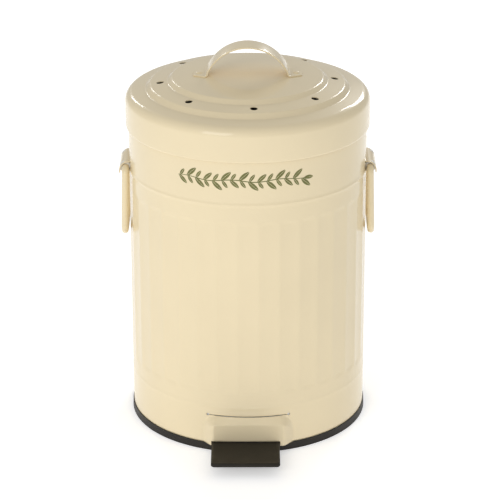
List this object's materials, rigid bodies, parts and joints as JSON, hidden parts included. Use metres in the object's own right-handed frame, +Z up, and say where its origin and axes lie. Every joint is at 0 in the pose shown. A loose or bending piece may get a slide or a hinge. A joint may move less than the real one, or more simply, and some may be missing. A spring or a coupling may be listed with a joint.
{
  "type": "pedal compost bin",
  "caption": "Round enamelled steel compost bin on a plastic foot ring: a front pedal lifts the hinged, vented lid through a push rod; drop handles and a lift-out bucket.",
  "frame": {"origin": "on the floor at the axis of the round bin", "axes": "+Z up, the pedal and front towards -Y, the lid's hinge towards +Y, +X to the right seen from the front"},
  "size_m": [0.2194, 0.2626, 0.3325],
  "materials": {
    "cream_enamel": "satin",
    "black_plastic": "matte",
    "black_rubber": "matte",
    "black_steel": "matte",
    "zinc_steel": "satin",
    "nylon": "matte",
    "charcoal": "matte",
    "bucket_plastic": "matte"
  },
  "bodies": {
    "bin": {"body_shell": "cream_enamel", "base_ring": "black_plastic", "floor_plate": "zinc_steel", "base_screws": "zinc_steel", "pedal_axle": "zinc_steel", "axle_clips": "zinc_steel", "rod_guide_lower": "nylon", "rod_guide_upper": "nylon", "hinge_bracket": "cream_enamel", "hinge_rivets": "cream_enamel", "hinge_pin": "zinc_steel", "hinge_pin_cap": "zinc_steel", "handle_hood_left": "cream_enamel", "handle_hood_right": "cream_enamel", "handle_bushes": "nylon"},
    "pedal": {"pedal_lever": "black_steel", "pedal_sleeve": "black_rubber"},
    "push_rod": {"push_rod": "zinc_steel", "rod_foot": "nylon", "rod_clip": "nylon", "rod_head": "nylon", "rod_pin": "zinc_steel"},
    "lid": {"lid_shell": "cream_enamel", "lid_hinge_arm": "cream_enamel", "hinge_arm_rivets": "cream_enamel", "crank_plate": "zinc_steel", "lid_handle": "cream_enamel", "handle_rivets": "cream_enamel", "handle_washers": "zinc_steel", "carbon_filter": "charcoal", "filter_grid": "black_plastic", "filter_hooks": "cream_enamel"},
    "left_handle": {"drop_handle_left": "cream_enamel"},
    "right_handle": {"drop_handle_right": "cream_enamel"},
    "bucket": {"inner_bucket": "bucket_plastic"},
    "bail": {"bucket_bail": "zinc_steel", "bail_grip": "black_plastic"}
  },
  "joints": [
    {"name": "lid_hinge", "type": "hinge", "parent": "bin", "child": "lid", "pos_m": [0, 0.1095, 0.26], "axis": [-1, 0, 0], "range_deg": [0, 74]},
    {"name": "pedal_pivot", "type": "hinge", "parent": "bin", "child": "pedal", "pos_m": [0, -0.088, 0.0045], "axis": [1, 0, 0], "range_deg": [0, 6.9]},
    {"name": "rod_lift", "type": "slide", "parent": "bin", "child": "push_rod", "axis": [0, 0, 1], "range_m": [0, 0.022]},
    {"name": "left_handle_swing", "type": "hinge", "parent": "bin", "child": "left_handle", "pos_m": [-0.1041, 0, 0.2278], "axis": [0, 1, 0], "range_deg": [-0.5, 80]},
    {"name": "right_handle_swing", "type": "hinge", "parent": "bin", "child": "right_handle", "pos_m": [0.1041, 0, 0.2278], "axis": [0, -1, 0], "range_deg": [-0.5, 80]},
    {"name": "bucket_lift", "type": "slide", "parent": "bin", "child": "bucket", "axis": [0, 0, 1], "range_m": [0, 0.01]},
    {"name": "bail_swing", "type": "hinge", "parent": "bucket", "child": "bail", "pos_m": [0, 0, 0.24], "axis": [-1, 0, 0], "range_deg": [0, 15]}
  ],
  "couplings": [
    {"joint": "pedal_pivot", "follows": "lid_hinge", "ratio": 0.09243},
    {"joint": "rod_lift", "follows": "lid_hinge", "m_per_rad": 0.016918}
  ]
}
